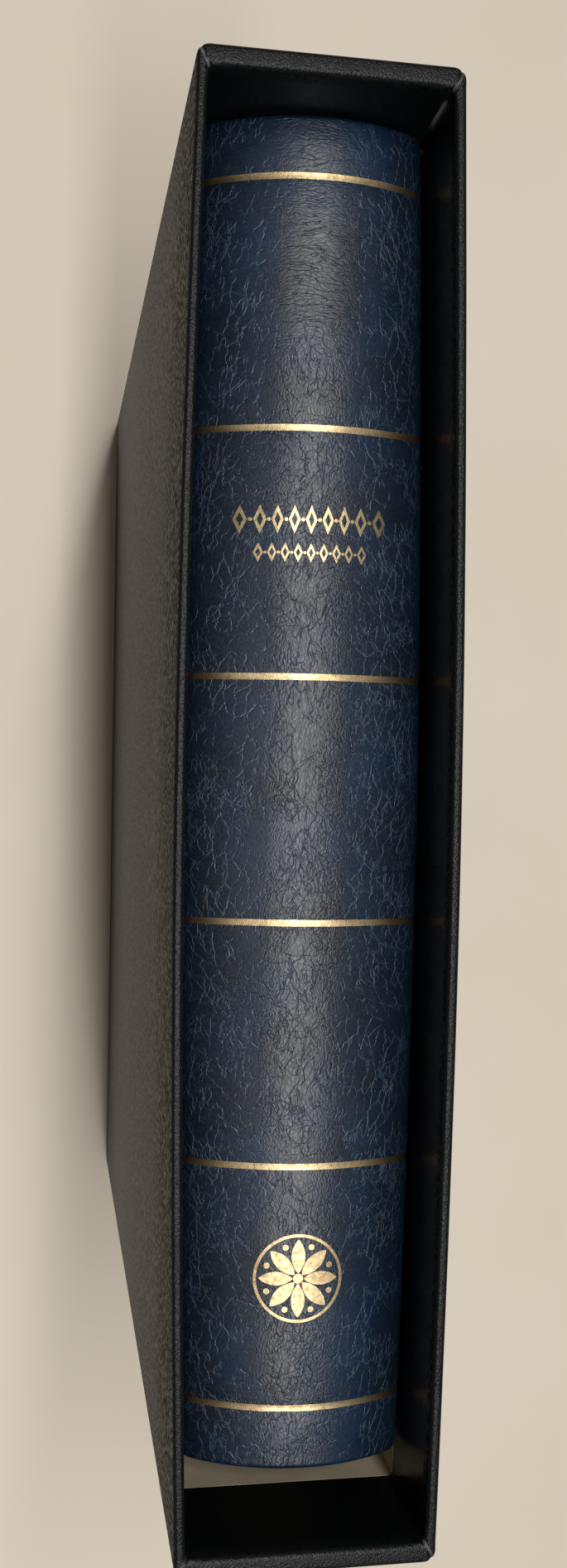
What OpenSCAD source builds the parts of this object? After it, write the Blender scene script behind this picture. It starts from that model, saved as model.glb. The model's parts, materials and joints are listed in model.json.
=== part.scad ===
// Stamp album for 13-ring leaves, standing spine up in its slipcase.
// The slipcase stands on its closed back at z = 0 and its mouth faces +Z.
// +Y is the head of the album, +X is the side of its front cover.

/* [Album] */
// Height of the album, head to foot
album_h = 315; // [312:0.5:330]
// Thickness of the closed album over its covers
album_t = 53.4; // [51:0.2:56]
// Width of the album from the fore edge to the crown of the spine
album_w = 294.8; // [291:0.1:305]
// Radius of the spine's crown
crown_r = 45; // [42:0.5:50]
// Radius of the spine's shoulders, where it turns down to the joints
shoulder_r = 7; // [6:0.5:10]
// Depth of the spine piece below the crown
spine_d = 20; // [19:0.5:22]
// Width of the joint groove between the spine and each cover
joint_w = 7; // [5:0.5:9]

/* [Cover layers] */
// Thickness of the leatherette
skin_t = 0.6; // [0.4:0.1:0.8]
// Thickness of the foam padding
pad_t = 1.5; // [1:0.1:2]
// Distance from the ends of the boards back to the foam padding
pad_setback = 4; // [1:0.5:8]
// Thickness of the cover boards and of the spine former
board_t = 2.4; // [2:0.1:2.8]
// Thickness of the endpapers and the spine lining
paper_t = 0.3; // [0.2:0.05:0.4]
// Width of the leatherette turned over the edges to the inside
turn_in = 15; // [12:0.5:18]
// Overlap of the spine lining onto each cover
lining_lap = 12; // [8:0.5:16]

/* [Gilding] */
// Thickness of the gold foil
foil_t = 0.1; // [0.05:0.01:0.2]
// Width of each gold band
band_w = 1.5; // [1:0.1:2.5]
// Distance from the middle of the outermost gold bands to the head and foot
band_margin = 14.5; // [12:0.5:20]
// Distance from the album's mid height up to the middle of the row of bands
band_rise = 0.4; // [-2:0.1:3]
// Length of each band, measured straight across the spine
band_reach = 51.6; // [44:0.2:52]
// Height of the upper row of lozenges
upper_row_h = 6.6; // [4:0.2:8]
// Height of the lower row of lozenges
lower_row_h = 4.4; // [3:0.2:5]
// Distance between the middles of the two rows of lozenges
row_gap = 7.6; // [6:0.2:9]
// Radius of the rosette
rosette_r = 10.5; // [8:0.5:12]

/* [Slipcase] */
// Gap between the album and each side wall
side_gap = 0.7; // [0.5:0.1:3]
// Gap between the album and the head wall
head_gap = 0.4; // [0.4:0.1:3]
// Gap between the album and the foot wall
foot_gap = 10; // [5:0.5:12]
// Depth of the spine's crown below the rim
recess = 16.2; // [8:0.1:25]
// Thickness of the side boards
side_board_t = 2; // [1.5:0.1:3]
// Thickness of the doubled boards at the head and foot
end_board_t = 4.2; // [3:0.1:5]
// Thickness of the closed back's board
back_board_t = 2.4; // [1.5:0.1:4]
// Thickness of the slipcase's leatherette and of its paper lining
wrap_t = 0.3; // [0.2:0.05:0.5]
// Depth of the leatherette turned in at the mouth
rim_turn_in = 30; // [20:0.5:45]
// Room between the boards' edges and the leatherette folded over the rim
rim_ease = 0.5; // [0.1:0.1:1]
// Radius of the slipcase's four upright corners
corner_r = 3; // [1:0.5:4]
// Outward bow of each side wall in the middle of the mouth
mouth_bow = 2.5; // [0:0.1:3]
// Power that shapes how the bow fades towards the closed back
bow_power = 1.5; // [1:0.1:2.5]

/* [Leaves] */
// Distance from the leaves to the cover's edges at the head and the foot
leaf_square = 9; // [7:0.5:12]
// Distance from the leaves to the cover's fore edges
fore_square = 7.8; // [5:0.1:12]
// Thickness of an album leaf with its mounts
leaf_t = 1.2; // [0.6:0.1:1.4]
// Gap between neighbouring leaves
leaf_gap = 0.35; // [0.3:0.01:0.4]
// Album leaves in each of the two groups
leaves_per_group = 8; // [4:1:8]
// Thickness of the title leaf
title_leaf_t = 0.4; // [0.2:0.05:0.6]
// Thickness of a guard leaf
guard_t = 0.5; // [0.3:0.05:0.7]
// Gap between the leaves' spine edges and the bearing blocks
leaf_edge_gap = 1.3; // [0.5:0.1:2]
// Radius of the ring holes in the leaves
leaf_hole_r = 3; // [3:0.05:3.3]

/* [Ring mechanism] */
// Number of rings
rings = 13; // [7:2:13]
// Distance from the outermost rings to the ends of the leaves
ring_margin = 13.5; // [10:0.5:18]
// Radius of the ring wire
wire_r = 1.2; // [1:0.05:1.25]
// Gap between the guard leaves and the rings' sides
ring_gap = 1.275; // [1:0.025:1.5]
// Bend radius of the rings
ring_bend_r = 5; // [4:0.25:5.5]
// Depth of the rings' straight bottom below the crown
ring_bottom_d = 27; // [26.8:0.05:27.2]
// Radius of the turn bars
bar_r = 2; // [1.6:0.05:2.2]
// Distance from the middle of the album to each turn bar
bar_x = 5; // [4.6:0.1:5.4]
// Depth of the turn bars below the crown
bar_d = 12.5; // [12:0.1:12.8]
// Thickness of the arched rail
rail_t = 1; // [0.8:0.05:1.2]
// Width of the arched rail
rail_w = 26; // [20:0.5:28]
// Distance from the ends of the arched rail to the ends of the leaves
rail_margin = 8.5; // [6.5:0.5:11]
// Length of each bearing block along the bars
bearing_l = 6; // [4:0.5:8]
// Radius of the rivets' shanks
rivet_r = 1.6; // [1.2:0.1:2]
// Radius of the rivets' heads
rivet_head_r = 3; // [2.4:0.1:3.2]
// Thickness of the finger tabs
tab_t = 2; // [1.5:0.1:2.5]

/* [Hidden] */
$fn = 64;
glue = 0.02;            // glue line between two layers
bar_play = 0.05;        // radial clearance of a turn bar in its bearing
crimp_play = 0.01;      // radial clearance of a crimped eye on its bar
tip_gap = 0.1;          // gap between the tips of the two half rings
tab_gap = 1;            // gap between the leaves and a finger tab
rivet_play = 0.1;       // clearance round a rivet and its upper head
rivet_head_h = 0.7;     // height of a rivet's heads
rivet_places = [3, 9];  // rivets, bearings and springs along the spine, both
bearing_places = [5, 11];   // ways from its middle, in half ring pitches
spring_places = [1, 7];
bearing_wall = 1.2;     // wall of a bearing block beside and under the bars
strip_t = 0.5;          // thickness of a detent spring's strip
eye_wall = 1.4;         // wall of the eyes crimped on the bars
eye_l = 3;              // length of a ring's eye along the bar
hole_play = 0.9;        // gap under the ring wire in a leaf's hole
bar_end = 0.5;          // stretch of a turn bar past its finger tab
clip_gap = 0.3;         // gap between a detent spring's leg and its bar
tab_out = 7.5;          // outward and down from a turn bar to the tip of its
tab_down = 7;           // finger tab
foil_gap = 0.01;        // foil lies this far off the leatherette
bands = 6;              // gold bands
title_place = 1.066;    // lozenge rows above the bands' middle, in band pitches
rosette_place = -1.96;  // rosette from the bands' middle, in band pitches
lozenges = 9;           // lozenges in each row
upper_pitch = 3.9;      // distance between lozenges in the upper row
lower_pitch = 3;        // distance between lozenges in the lower row
lozenge_share = 0.7;    // width of a lozenge, in pitches
rosette_rim = 0.7;      // width of the rosette's outer ring
corner_steps = 6;       // facets of an upright corner
bow_steps = 16;         // facets of a bowed wall along y
wall_steps = 5;         // facets of a bowed wall up to the turned-in edge
eps = 0.5;              // overrun of a cut past a face

stack_t = 2 * skin_t + pad_t + board_t;   // whole thickness of a cover
half_t = album_t / 2;
half_h = album_h / 2;
inner_half_t = half_t - stack_t;
cover_d = spine_d + joint_w;       // depth at which the covers begin
shoulder_x = half_t - shoulder_r;
shoulder_d = crown_r - sqrt(pow(crown_r - shoulder_r, 2) - pow(shoulder_x, 2));
shoulder_a = atan2(crown_r - shoulder_d, shoulder_x);   // where shoulder meets crown
crown_a = shoulder_a + 2;          // first facet of the crown past the shoulder
band_pitch = (album_h - 2 * band_margin) / (bands - 1);

inner_w = album_t + 2 * side_gap;
inner_h = album_h + head_gap + foot_gap;
case_w = inner_w + 2 * (side_board_t + 2 * wrap_t);
case_h = inner_h + 2 * (end_board_t + 2 * wrap_t);
back_t = back_board_t + 2 * wrap_t;
case_d = back_t + album_w + recess;
turn_z = case_d - rim_turn_in;
crown_z = back_t + album_w;
album_y = (foot_gap - head_gap) / 2;

leaf_h = album_h - 2 * leaf_square;
leaf_edge_d = bar_d + bar_r + bearing_wall + leaf_edge_gap;   // below the crown
leaf_w = album_w - leaf_edge_d - fore_square;
leaf_pitch = leaf_t + leaf_gap;
title_x = (leaves_per_group - 0.5) * leaf_pitch + leaf_t / 2 + title_leaf_t;
guard_x = title_x + title_leaf_t + guard_t / 2;

rail_r = crown_r - stack_t + skin_t - 2 * glue - paper_t;   // upper radius of the rail
rail_l = leaf_h - 2 * rail_margin;
ring_pitch = (leaf_h - 2 * ring_margin) / (rings - 1);
ring_half_w = guard_x + guard_t / 2 + ring_gap + wire_r;   // middle to a ring's side
hole_d = ring_bottom_d + wire_r + hole_play - leaf_hole_r;
bar_half_l = leaf_h / 2 + tab_gap + tab_t + bar_end;

wall_ys = [for (i = [0:bow_steps]) inner_h * (i / bow_steps - 0.5)];
panel_ys = [for (y = wall_ys) y * (1 - 2 * glue / inner_h)];
wall_zs = concat(
    [for (k = [1:wall_steps]) turn_z * k / wall_steps],
    [(turn_z + case_d) / 2]);

// ---- helpers ----

// Children on the +X side, or mirrored to the -X side
module on_side(side) {
    if (side > 0) children();
    else mirror([1, 0, 0]) children();
}

// Album frame: origin on the crown at mid height, z falls with depth
module in_album() {
    translate([0, album_y, crown_z]) children();
}

// Outline in x and z drawn out along y, centred
module along_y(length) {
    rotate([90, 0, 0]) linear_extrude(length, center = true) children();
}

// Block between two corners
module block(low, high) {
    translate(low) cube(high - low);
}

function backwards(list) = [for (i = [len(list) - 1:-1:0]) list[i]];

function arc(centre, r, from, to, steps) =
    [for (i = [0:steps]) centre + r * [cos(from + (to - from) * i / steps),
                                       sin(from + (to - from) * i / steps)]];

// Curve of the spine at a given inset, from the right joint over the crown
function spine_curve(inset) = concat(
    arc([shoulder_x, -shoulder_d], shoulder_r - inset, 0, shoulder_a, 8),
    arc([0, -crown_r], crown_r - inset, crown_a, 180 - crown_a, 28),
    arc([-shoulder_x, -shoulder_d], shoulder_r - inset, 180 - shoulder_a, 180, 8));

// Layer of the spine between two insets, down to a given depth
module spine_layer(outer, inner, depth) {
    polygon(concat(
        [[half_t - outer, -depth]], spine_curve(outer), [[outer - half_t, -depth]],
        [[inner - half_t, -depth]], backwards(spine_curve(inner)),
        [[half_t - inner, -depth]]));
}

// Upright strip on both sides between two x distances and two depths
module strips(x0, x1, d0, d1) {
    for (side = [-1, 1])
        on_side(side) translate([x0, -d1]) square([x1 - x0, d1 - d0]);
}

// Outward bow of a side wall
function wall_bow(y, z) = abs(y) >= inner_h / 2 - glue ? 0 :
    mouth_bow * cos(180 * y / inner_h) * pow(z / case_d, bow_power);

// Sheet that follows a bowed side wall, between two lines of [x, z] points
module bowed_wall(outer, inner, ys) {
    m = len(outer);
    n = 2 * m;
    last = n * (len(ys) - 1);
    outline = concat(outer, backwards(inner));
    points = [for (y = ys) for (p = outline) [p[0] + wall_bow(y, p[1]), y, p[1]]];
    quads = [for (i = [0:len(ys) - 2]) for (j = [0:n - 1])
        let (k = (j + 1) % n)
        [i * n + j, i * n + k, (i + 1) * n + k, (i + 1) * n + j]];
    // every quad is split from its low corner, so layers share their facets
    faces = [for (q = quads) for (half = [0, 1])
        points[q[0]][2] <= points[q[1]][2]
            ? (half == 0 ? [q[0], q[1], q[2]] : [q[0], q[2], q[3]])
            : (half == 0 ? [q[1], q[2], q[3]] : [q[1], q[3], q[0]])];
    foot_cap = [for (j = [0:m - 2]) [n - 1 - j, n - 2 - j, j + 1, j]];
    head_cap = [for (j = [0:m - 2])
        [last + j, last + j + 1, last + n - 2 - j, last + n - 1 - j]];
    polyhedron(points, concat(faces, foot_cap, head_cap), convexity = 6);
}

function up_wall(x, low, high) = concat(
    [[x, low]], [for (z = wall_zs) if (z > low + 1 && z < high - 1) [x, z]], [[x, high]]);

// ---- slipcase ----

module side_board() {
    low = wrap_t + glue;
    high = case_d - wrap_t - rim_ease;
    end_y = inner_h / 2 + wrap_t;
    bowed_wall(up_wall(case_w / 2 - wrap_t - glue, low, high),
               up_wall(inner_w / 2 + wrap_t + glue, low, high),
               concat([-end_y], wall_ys, [end_y]));
}

module case_left_board() {
    color("tan") on_side(-1) side_board();
}

module case_right_board() {
    color("tan") side_board();
}

// Plan of the head wall from a given y to a given inset of its rounded outside
module end_plan(from_y, inset) {
    corner = [case_w / 2 - corner_r, case_h / 2 - corner_r];
    r = corner_r - inset;
    polygon(concat(
        [[case_w / 2 - inset, from_y]], arc(corner, r, 0, 90, corner_steps),
        arc([-corner[0], corner[1]], r, 90, 180, corner_steps),
        [[inset - case_w / 2, from_y]]));
}

module end_board() {
    low = wrap_t + glue;
    translate([0, 0, low]) linear_extrude(case_d - wrap_t - rim_ease - low)
        end_plan(inner_h / 2 + wrap_t + glue, wrap_t + glue);
}

module case_head_board() {
    color("tan") end_board();
}

module case_foot_board() {
    color("tan") mirror([0, 1, 0]) end_board();
}

module case_back_board() {
    color("tan")
        block([-inner_w / 2 - wrap_t, -inner_h / 2 - wrap_t, wrap_t + glue],
              [inner_w / 2 + wrap_t, inner_h / 2 + wrap_t, back_t - wrap_t - glue]);
}

// Leatherette over a side wall, folded over the rim and turned in
module side_covering() {
    low = wrap_t + glue;
    lip = case_d - wrap_t;
    bowed_wall(
        concat(up_wall(case_w / 2, low, case_d),
               backwards(up_wall(inner_w / 2, turn_z, case_d))),
        concat(up_wall(case_w / 2 - wrap_t, low, lip),
               backwards(up_wall(inner_w / 2 + wrap_t, turn_z, lip))),
        panel_ys);
}

module case_left_covering() {
    color([0.1, 0.11, 0.12]) on_side(-1) side_covering();
}

module case_right_covering() {
    color([0.1, 0.11, 0.12]) side_covering();
}

// One strip over the head, the closed back and the foot, round the corners
module case_edge_covering() {
    color([0.1, 0.11, 0.12]) {
        block([-case_w / 2, -inner_h / 2 - eps, 0], [case_w / 2, inner_h / 2 + eps, wrap_t]);
        for (end = [0, 1]) mirror([0, end, 0]) {
            difference() {
                linear_extrude(case_d) end_plan(inner_h / 2, 0);
                translate([0, 0, wrap_t]) linear_extrude(case_d - 2 * wrap_t)
                    end_plan(inner_h / 2 - eps, wrap_t);
            }
            block([-inner_w / 2 - wrap_t, inner_h / 2, turn_z],
                  [inner_w / 2 + wrap_t, inner_h / 2 + wrap_t, case_d]);
        }
    }
}

module case_side_linings() {
    low = back_t - wrap_t;
    high = turn_z - glue;
    color([0.72, 0.66, 0.56]) for (side = [-1, 1]) on_side(side)
        bowed_wall(up_wall(inner_w / 2 + wrap_t, low, high),
                   up_wall(inner_w / 2, low, high), panel_ys);
}

// One strip of lining paper over the inside of the head, back and foot
module case_edge_lining() {
    half_w = inner_w / 2 - glue;
    color([0.72, 0.66, 0.56]) {
        block([-half_w, -inner_h / 2 - wrap_t, back_t - wrap_t],
              [half_w, inner_h / 2 + wrap_t, back_t]);
        for (end = [0, 1]) mirror([0, end, 0])
            block([-half_w, inner_h / 2, back_t - wrap_t],
                  [half_w, inner_h / 2 + wrap_t, turn_z - glue]);
    }
}

// ---- album case ----

// Whole section of the cover, with its two joint grooves
module cover_section() {
    groove_x = inner_half_t + 2 * skin_t;
    side = [[half_t, -album_w], [half_t, -cover_d], [groove_x, -cover_d],
            [groove_x, -spine_d], [half_t, -spine_d]];
    polygon(concat(
        side, spine_curve(0), [for (p = backwards(side)) [-p[0], p[1]]],
        [[-inner_half_t, -album_w]], backwards(spine_curve(stack_t)),
        [[inner_half_t, -album_w]]));
}

// Room in the leatherette for the padding, the boards and the former
module core_section() {
    spine_layer(skin_t, stack_t - skin_t, spine_d - skin_t);
    strips(inner_half_t + skin_t, half_t - skin_t, cover_d + skin_t, album_w - skin_t);
}

// Inner layer of the cover, where the turned-in edges leave it open
module inside_section() {
    spine_layer(stack_t - skin_t, stack_t + eps, album_w - turn_in);
}

module cover_leatherette() {
    color([0.1, 0.16, 0.27]) in_album() difference() {
        along_y(album_h) cover_section();
        along_y(album_h - 2 * skin_t) core_section();
        along_y(album_h - 2 * turn_in) inside_section();
    }
}

// Flat sheet inside a cover, between two distances from the middle and at a
// given distance from the cover's edges
module cover_sheet(x0, x1, edge) {
    in_album() block([x0 + glue, edge - half_h, edge - album_w],
                     [x1 - glue, half_h - edge, -cover_d - edge]);
}

module cover_board() {
    cover_sheet(inner_half_t + skin_t, inner_half_t + skin_t + board_t, skin_t + glue);
}

module front_board() {
    color("peru") cover_board();
}

module back_board() {
    color("peru") on_side(-1) cover_board();
}

module cover_padding() {
    cover_sheet(half_t - skin_t - pad_t, half_t - skin_t, skin_t + pad_setback);
}

module front_padding() {
    color("khaki") cover_padding();
}

module back_padding() {
    color("khaki") on_side(-1) cover_padding();
}

// Places along the spine, counted in half ring pitches from its middle
module at_half_pitches(places) {
    for (k = places) for (end = [-1, 1])
        translate([0, end * k * ring_pitch / 2, 0]) children();
}

module spine_padding() {
    color("khaki") in_album() difference() {
        along_y(album_h - 2 * (skin_t + pad_setback))
            spine_layer(skin_t + glue, skin_t + pad_t - glue,
                        (shoulder_d + spine_d - skin_t) / 2);
        at_half_pitches(rivet_places) translate([0, 0, -skin_t - pad_t - eps])
            cylinder(r = rivet_head_r + rivet_play, h = rivet_head_h + rivet_play + eps);
    }
}

module spine_former() {
    color("peru") in_album() difference() {
        along_y(album_h - 2 * (skin_t + glue))
            spine_layer(skin_t + pad_t + glue, stack_t - skin_t - glue,
                        spine_d - skin_t - glue);
        at_half_pitches(rivet_places) translate([0, 0, -stack_t])
            cylinder(r = rivet_r + rivet_play, h = stack_t);
    }
}

// Lining paper over the inside of the spine, both joints and the cover edges
module spine_lining() {
    outer = stack_t - skin_t + glue;
    color([0.75, 0.7, 0.6]) in_album() difference() {
        along_y(album_h - 2 * (turn_in + glue))
            spine_layer(outer, outer + paper_t, cover_d + lining_lap);
        at_half_pitches(rivet_places) translate([0, 0, -stack_t - eps])
            cylinder(r = rivet_r + rivet_play, h = stack_t);
    }
}

module endpaper() {
    outer = inner_half_t + skin_t - glue;
    in_album() block(
        [outer - paper_t, turn_in + glue - half_h, turn_in + glue - album_w],
        [outer, half_h - turn_in - glue, -cover_d - lining_lap - glue]);
}

module front_endpaper() {
    color([0.86, 0.83, 0.76]) endpaper();
}

module back_endpaper() {
    color([0.86, 0.83, 0.76]) on_side(-1) endpaper();
}

// ---- gilding ----

// Foil that follows the spine wherever its flat pattern lies over it
module foil(length, middle) {
    in_album() translate([0, middle, 0]) intersection() {
        along_y(length) spine_layer(-foil_gap - foil_t, -foil_gap, spine_d);
        translate([0, 0, -spine_d]) linear_extrude(spine_d + 2 * foil_t) children();
    }
}

module gold_bands() {
    color("gold") for (k = [0:bands - 1])
        foil(band_w, band_rise + (k - (bands - 1) / 2) * band_pitch)
            square([band_reach, band_w + eps], center = true);
}

module lozenge(w, h) {
    polygon([[-w / 2, 0], [0, -h / 2], [w / 2, 0], [0, h / 2]]);
}

// Row of open lozenges with a dot between each pair
module lozenge_row(pitch, h) {
    w = lozenge_share * pitch;
    for (i = [0:lozenges - 1]) translate([(i - (lozenges - 1) / 2) * pitch, 0])
        difference() {
            lozenge(w, h);
            lozenge(w / 2, h / 2);
        }
    for (i = [0:lozenges - 2]) translate([(i - (lozenges - 2) / 2) * pitch, 0])
        circle(pitch / 9, $fn = 24);
}

module gold_lozenges() {
    color("gold") foil(row_gap + upper_row_h + lower_row_h,
                       band_rise + title_place * band_pitch) {
        translate([0, row_gap / 2]) lozenge_row(upper_pitch, upper_row_h);
        translate([0, -row_gap / 2]) lozenge_row(lower_pitch, lower_row_h);
    }
}

// Rosette: a ring, eight petals with a dot between each pair, and a middle dot
module gold_rosette() {
    petal_r = rosette_r * 0.55;
    petal_x = petal_r * 0.72;
    color("gold") foil(3 * rosette_r, band_rise + rosette_place * band_pitch) {
        difference() {
            circle(rosette_r);
            circle(rosette_r - rosette_rim);
        }
        circle(rosette_r / 9, $fn = 24);
        for (a = [0:45:315]) rotate(a) {
            translate([0, rosette_r * 0.5]) intersection() {
                translate([petal_x, 0]) circle(petal_r);
                translate([-petal_x, 0]) circle(petal_r);
            }
            rotate(22.5) translate([0, rosette_r * 0.76])
                circle(rosette_r / 15, $fn = 24);
        }
    }
}

// ---- ring mechanism ----

module ring_rail() {
    color("silver") in_album() difference() {
        along_y(rail_l) intersection() {
            translate([0, -crown_r]) difference() {
                circle(rail_r);
                circle(rail_r - rail_t);
            }
            translate([-rail_w / 2, -crown_r]) square([rail_w, crown_r]);
        }
        at_half_pitches(rivet_places) translate([0, 0, -2 * stack_t])
            cylinder(r = rivet_r + rivet_play, h = 2 * stack_t);
    }
}

module rail_rivets() {
    top = skin_t + pad_t;
    bottom = crown_r - rail_r + rail_t + 2 * rivet_play;
    color("silver") in_album() at_half_pitches(rivet_places) {
        translate([0, 0, -bottom]) cylinder(r = rivet_r, h = bottom - top + rivet_head_h);
        translate([0, 0, -top]) cylinder(r = rivet_head_r, h = rivet_head_h);
        translate([0, 0, -bottom - rivet_head_h]) cylinder(r = rivet_head_r, h = rivet_head_h);
    }
}

// Blocks under the rail, each with a bore for both turn bars
module bar_bearings() {
    half_w = bar_x + bar_r + bearing_wall;
    bottom = bar_d + bar_r + bearing_wall;
    color("gray") in_album() at_half_pitches(bearing_places)
        along_y(bearing_l) difference() {
            intersection() {
                translate([0, -crown_r]) circle(rail_r - rail_t - glue);
                translate([-half_w, -bottom]) square([2 * half_w, bottom]);
            }
            for (x = [-bar_x, bar_x]) translate([x, -bar_d]) circle(bar_r + bar_play);
        }
}

// Spring clips whose legs press the two bars apart or closed
module detent_springs() {
    out = bar_x - bar_r - clip_gap;
    top = crown_r - sqrt(pow(rail_r - rail_t, 2) - out * out) + glue;
    color("lightsteelblue") in_album() at_half_pitches(spring_places)
        along_y(2 * bearing_l) {
            translate([-out, -top - strip_t]) square([2 * out, strip_t]);
            strips(out - strip_t, out, top, bar_d);
        }
}

module turn_bar() {
    in_album() translate([bar_x, bar_half_l, -bar_d])
        rotate([90, 0, 0]) cylinder(r = bar_r, h = 2 * bar_half_l);
}

module left_turn_bar() {
    color("silver") on_side(-1) turn_bar();
}

module right_turn_bar() {
    color("silver") turn_bar();
}

// Eye crimped on a turn bar
module eye(length) {
    rotate([90, 0, 0]) difference() {
        cylinder(r = bar_r + eye_wall, h = length, center = true);
        cylinder(r = bar_r + crimp_play, h = length + 2 * eps, center = true);
    }
}

// Straight stretch of wire along +X
module wire_x(length) {
    rotate([0, 90, 0]) cylinder(r = wire_r, h = length);
}

// Quarter bend of the wire, from the given angle about its centre
module wire_bend(from) {
    rotate([90, 0, 0]) rotate([0, 0, from]) rotate_extrude(angle = 90)
        translate([ring_bend_r, 0]) circle(wire_r, $fn = 32);
}

// Half ring on the +X side: eye, out, down the side and back to the middle
module half_ring() {
    bend_x = ring_half_w - ring_bend_r;
    side_l = ring_bottom_d - bar_d - 2 * ring_bend_r;
    foot_x = bar_r + eye_wall / 2;
    translate([bar_x, 0, 0]) eye(eye_l);
    translate([bar_x + foot_x, 0, 0]) wire_x(bend_x - bar_x - foot_x);
    translate([bend_x, 0, -ring_bend_r]) wire_bend(0);
    translate([ring_half_w, 0, -ring_bend_r - side_l]) cylinder(r = wire_r, h = side_l);
    translate([bend_x, 0, -ring_bend_r - side_l]) wire_bend(270);
    translate([tip_gap / 2, 0, bar_d - ring_bottom_d]) wire_x(bend_x - tip_gap / 2);
}

module half_rings() {
    in_album() for (k = [0:rings - 1])
        translate([0, (k - (rings - 1) / 2) * ring_pitch, -bar_d]) half_ring();
}

module left_half_rings() {
    color("silver") on_side(-1) half_rings();
}

module right_half_rings() {
    color("silver") half_rings();
}

// Finger tabs that turn a bar, just past the head and the foot of the leaves
module finger_tabs() {
    in_album() for (end = [-1, 1])
        translate([bar_x, end * (leaf_h / 2 + tab_gap + tab_t / 2), -bar_d])
            rotate([90, 0, 0]) linear_extrude(tab_t, center = true) difference() {
                union() {
                    circle(bar_r + eye_wall);
                    hull() {
                        circle(bar_r);
                        translate([tab_out, -tab_down]) circle(bar_r, $fn = 32);
                    }
                }
                circle(bar_r + crimp_play);
            }
}

module left_finger_tabs() {
    color("black") on_side(-1) finger_tabs();
}

module right_finger_tabs() {
    color("black") finger_tabs();
}

// ---- leaves ----

module leaf(x, thickness) {
    in_album() translate([x, 0, 0]) difference() {
        block([-thickness / 2, -leaf_h / 2, -leaf_edge_d - leaf_w],
              [thickness / 2, leaf_h / 2, -leaf_edge_d]);
        for (k = [0:rings - 1])
            translate([0, (k - (rings - 1) / 2) * ring_pitch, -hole_d])
                rotate([0, 90, 0]) cylinder(r = leaf_hole_r, h = thickness + 2 * eps,
                                            center = true);
    }
}

module leaf_group() {
    for (i = [0:leaves_per_group - 1]) leaf((i + 0.5) * leaf_pitch, leaf_t);
}

module front_leaves() {
    color([0.93, 0.9, 0.82]) leaf_group();
}

module back_leaves() {
    color([0.93, 0.9, 0.82]) on_side(-1) leaf_group();
}

module title_leaf() {
    color([0.95, 0.93, 0.86]) leaf(title_x, title_leaf_t);
}

module front_guard_leaf() {
    color([0.15, 0.15, 0.16]) leaf(guard_x, guard_t);
}

module back_guard_leaf() {
    color([0.15, 0.15, 0.16]) leaf(-guard_x, guard_t);
}

case_left_board();
case_right_board();
case_head_board();
case_foot_board();
case_back_board();
case_left_covering();
case_right_covering();
case_edge_covering();
case_side_linings();
case_edge_lining();
cover_leatherette();
front_board();
back_board();
front_padding();
back_padding();
spine_padding();
spine_former();
spine_lining();
front_endpaper();
back_endpaper();
gold_bands();
gold_lozenges();
gold_rosette();
ring_rail();
rail_rivets();
bar_bearings();
detent_springs();
left_turn_bar();
right_turn_bar();
left_half_rings();
right_half_rings();
left_finger_tabs();
right_finger_tabs();
front_guard_leaf();
back_guard_leaf();
title_leaf();
front_leaves();
back_leaves();
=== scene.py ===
import json
import math
import bmesh
import bpy
import numpy as np
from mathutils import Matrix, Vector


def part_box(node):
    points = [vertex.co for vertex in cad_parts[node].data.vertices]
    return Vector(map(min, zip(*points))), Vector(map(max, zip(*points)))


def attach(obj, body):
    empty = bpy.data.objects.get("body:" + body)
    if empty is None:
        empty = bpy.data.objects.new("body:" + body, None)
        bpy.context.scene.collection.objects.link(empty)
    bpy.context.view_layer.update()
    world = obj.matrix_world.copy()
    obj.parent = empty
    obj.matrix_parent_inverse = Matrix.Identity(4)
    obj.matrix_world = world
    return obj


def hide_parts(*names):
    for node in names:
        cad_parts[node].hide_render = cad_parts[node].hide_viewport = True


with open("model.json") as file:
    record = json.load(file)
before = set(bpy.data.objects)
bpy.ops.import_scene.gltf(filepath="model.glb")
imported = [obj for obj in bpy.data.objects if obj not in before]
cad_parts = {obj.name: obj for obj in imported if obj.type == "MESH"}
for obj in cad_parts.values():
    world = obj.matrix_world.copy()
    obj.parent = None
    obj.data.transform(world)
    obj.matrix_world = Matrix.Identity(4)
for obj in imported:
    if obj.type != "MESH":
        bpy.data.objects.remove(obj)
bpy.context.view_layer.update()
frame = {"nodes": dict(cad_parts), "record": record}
nodes = frame["nodes"]
mm = 0.001

view = {
    "place": (-60.6, 11.2, 603.3),      # mm
    "turn": (-1.815, -8.571, 0.967),    # degrees about x, y and z
    "lens": 30.79,
    "shift": (0.0245, 0.0183),
}


def makeCamera():
    lens = bpy.data.cameras.new("camera")
    lens.sensor_width = 36
    lens.lens = view["lens"]
    lens.shift_x, lens.shift_y = view["shift"]
    lens.clip_start = 0.01
    camera = bpy.data.objects.new("camera", lens)
    camera.location = [v * mm for v in view["place"]]
    camera.rotation_euler = [math.radians(a) for a in view["turn"]]
    bpy.context.scene.collection.objects.link(camera)
    bpy.context.scene.camera = camera


makeCamera()
print("camera placed")


class Wire:
    # one output socket that takes part in Python expressions
    def __init__(self, finish, socket):
        self.finish = finish
        self.socket = socket

    def math(self, operation, *values):
        return self.finish.make("ShaderNodeMath", {"operation": operation},
                                dict(enumerate(values)))

    def __add__(self, other):
        return self.math("ADD", self, other)

    def __radd__(self, other):
        return self.math("ADD", other, self)

    def __sub__(self, other):
        return self.math("SUBTRACT", self, other)

    def __rsub__(self, other):
        return self.math("SUBTRACT", other, self)

    def __mul__(self, other):
        return self.math("MULTIPLY", self, other)

    def __rmul__(self, other):
        return self.math("MULTIPLY", other, self)

    def __truediv__(self, other):
        return self.math("DIVIDE", self, other)


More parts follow.
